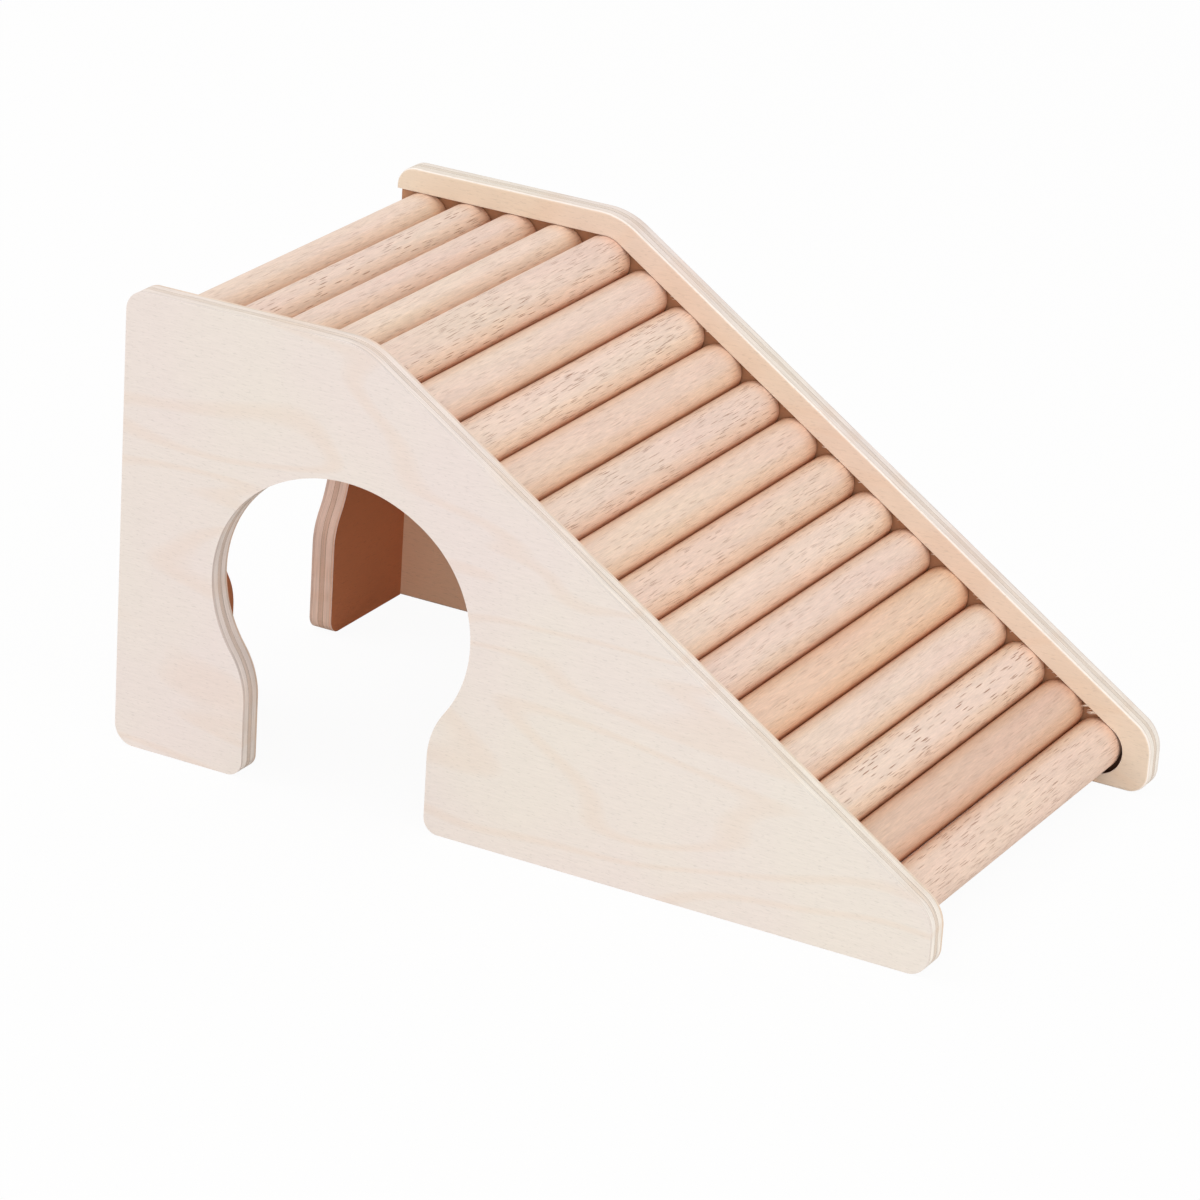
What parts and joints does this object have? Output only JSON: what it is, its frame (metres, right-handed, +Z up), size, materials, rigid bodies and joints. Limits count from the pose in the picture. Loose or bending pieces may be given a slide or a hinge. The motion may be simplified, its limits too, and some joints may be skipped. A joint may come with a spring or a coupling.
{
  "type": "small animal hide",
  "caption": "Wooden small animal hide with a ramp of round rods that slopes from a flat top to the ground between two plywood sides, with arched doorways in one side and in the rear.",
  "frame": {"origin": "on the ground in the middle of the hide's footprint", "axes": "+Z up, +X from the tall rear end with its doorway to the low nose of the ramp, +Y from the doorway panel across to the plain panel"},
  "size_m": [0.168, 0.099, 0.089],
  "materials": {
    "birch_plywood": "bare, fine sanded",
    "beech_rod": "bare, fine sanded",
    "beech_pin": "bare"
  },
  "bodies": {
    "root": {"doorway_panel": "birch_plywood", "plain_panel": "birch_plywood", "rear_wall": "birch_plywood", "pin_doorway_low": "beech_pin", "pin_doorway_high": "beech_pin", "pin_plain_low": "beech_pin", "pin_plain_high": "beech_pin", "rod_01": "beech_rod", "rod_02": "beech_rod", "rod_03": "beech_rod", "rod_04": "beech_rod", "rod_05": "beech_rod", "rod_06": "beech_rod", "rod_07": "beech_rod", "rod_08": "beech_rod", "rod_09": "beech_rod", "rod_10": "beech_rod", "rod_11": "beech_rod", "rod_12": "beech_rod", "rod_13": "beech_rod", "rod_14": "beech_rod", "rod_15": "beech_rod", "rod_16": "beech_rod", "rod_17": "beech_rod", "rod_18": "beech_rod"}
  },
  "joints": []
}
